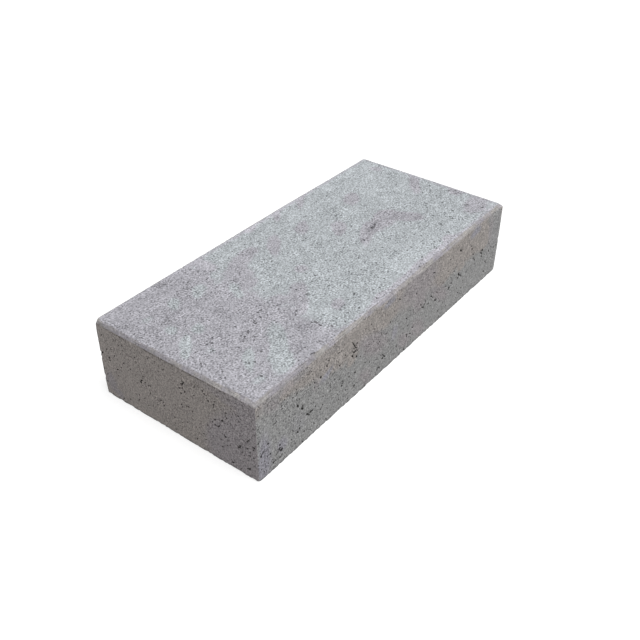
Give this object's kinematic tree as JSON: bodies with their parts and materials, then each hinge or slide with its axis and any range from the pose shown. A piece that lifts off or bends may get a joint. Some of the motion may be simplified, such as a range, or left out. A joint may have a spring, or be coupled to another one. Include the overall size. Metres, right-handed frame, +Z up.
{
  "type": "concrete block step",
  "caption": "Solid rectangular pressed concrete step block with a flat tread, square faces and a narrow chamfer all round the tread.",
  "frame": {"origin": "centre of the underside", "axes": "+X along the length of the step, +Y across its depth, +Z up through the tread"},
  "size_m": [0.75, 0.34, 0.155],
  "materials": {
    "concrete": "bare dry-pressed concrete, fine granular tread, smoother chamfer, small open pores on the faces"
  },
  "bodies": {
    "root": {"block_step": "concrete"}
  },
  "joints": []
}
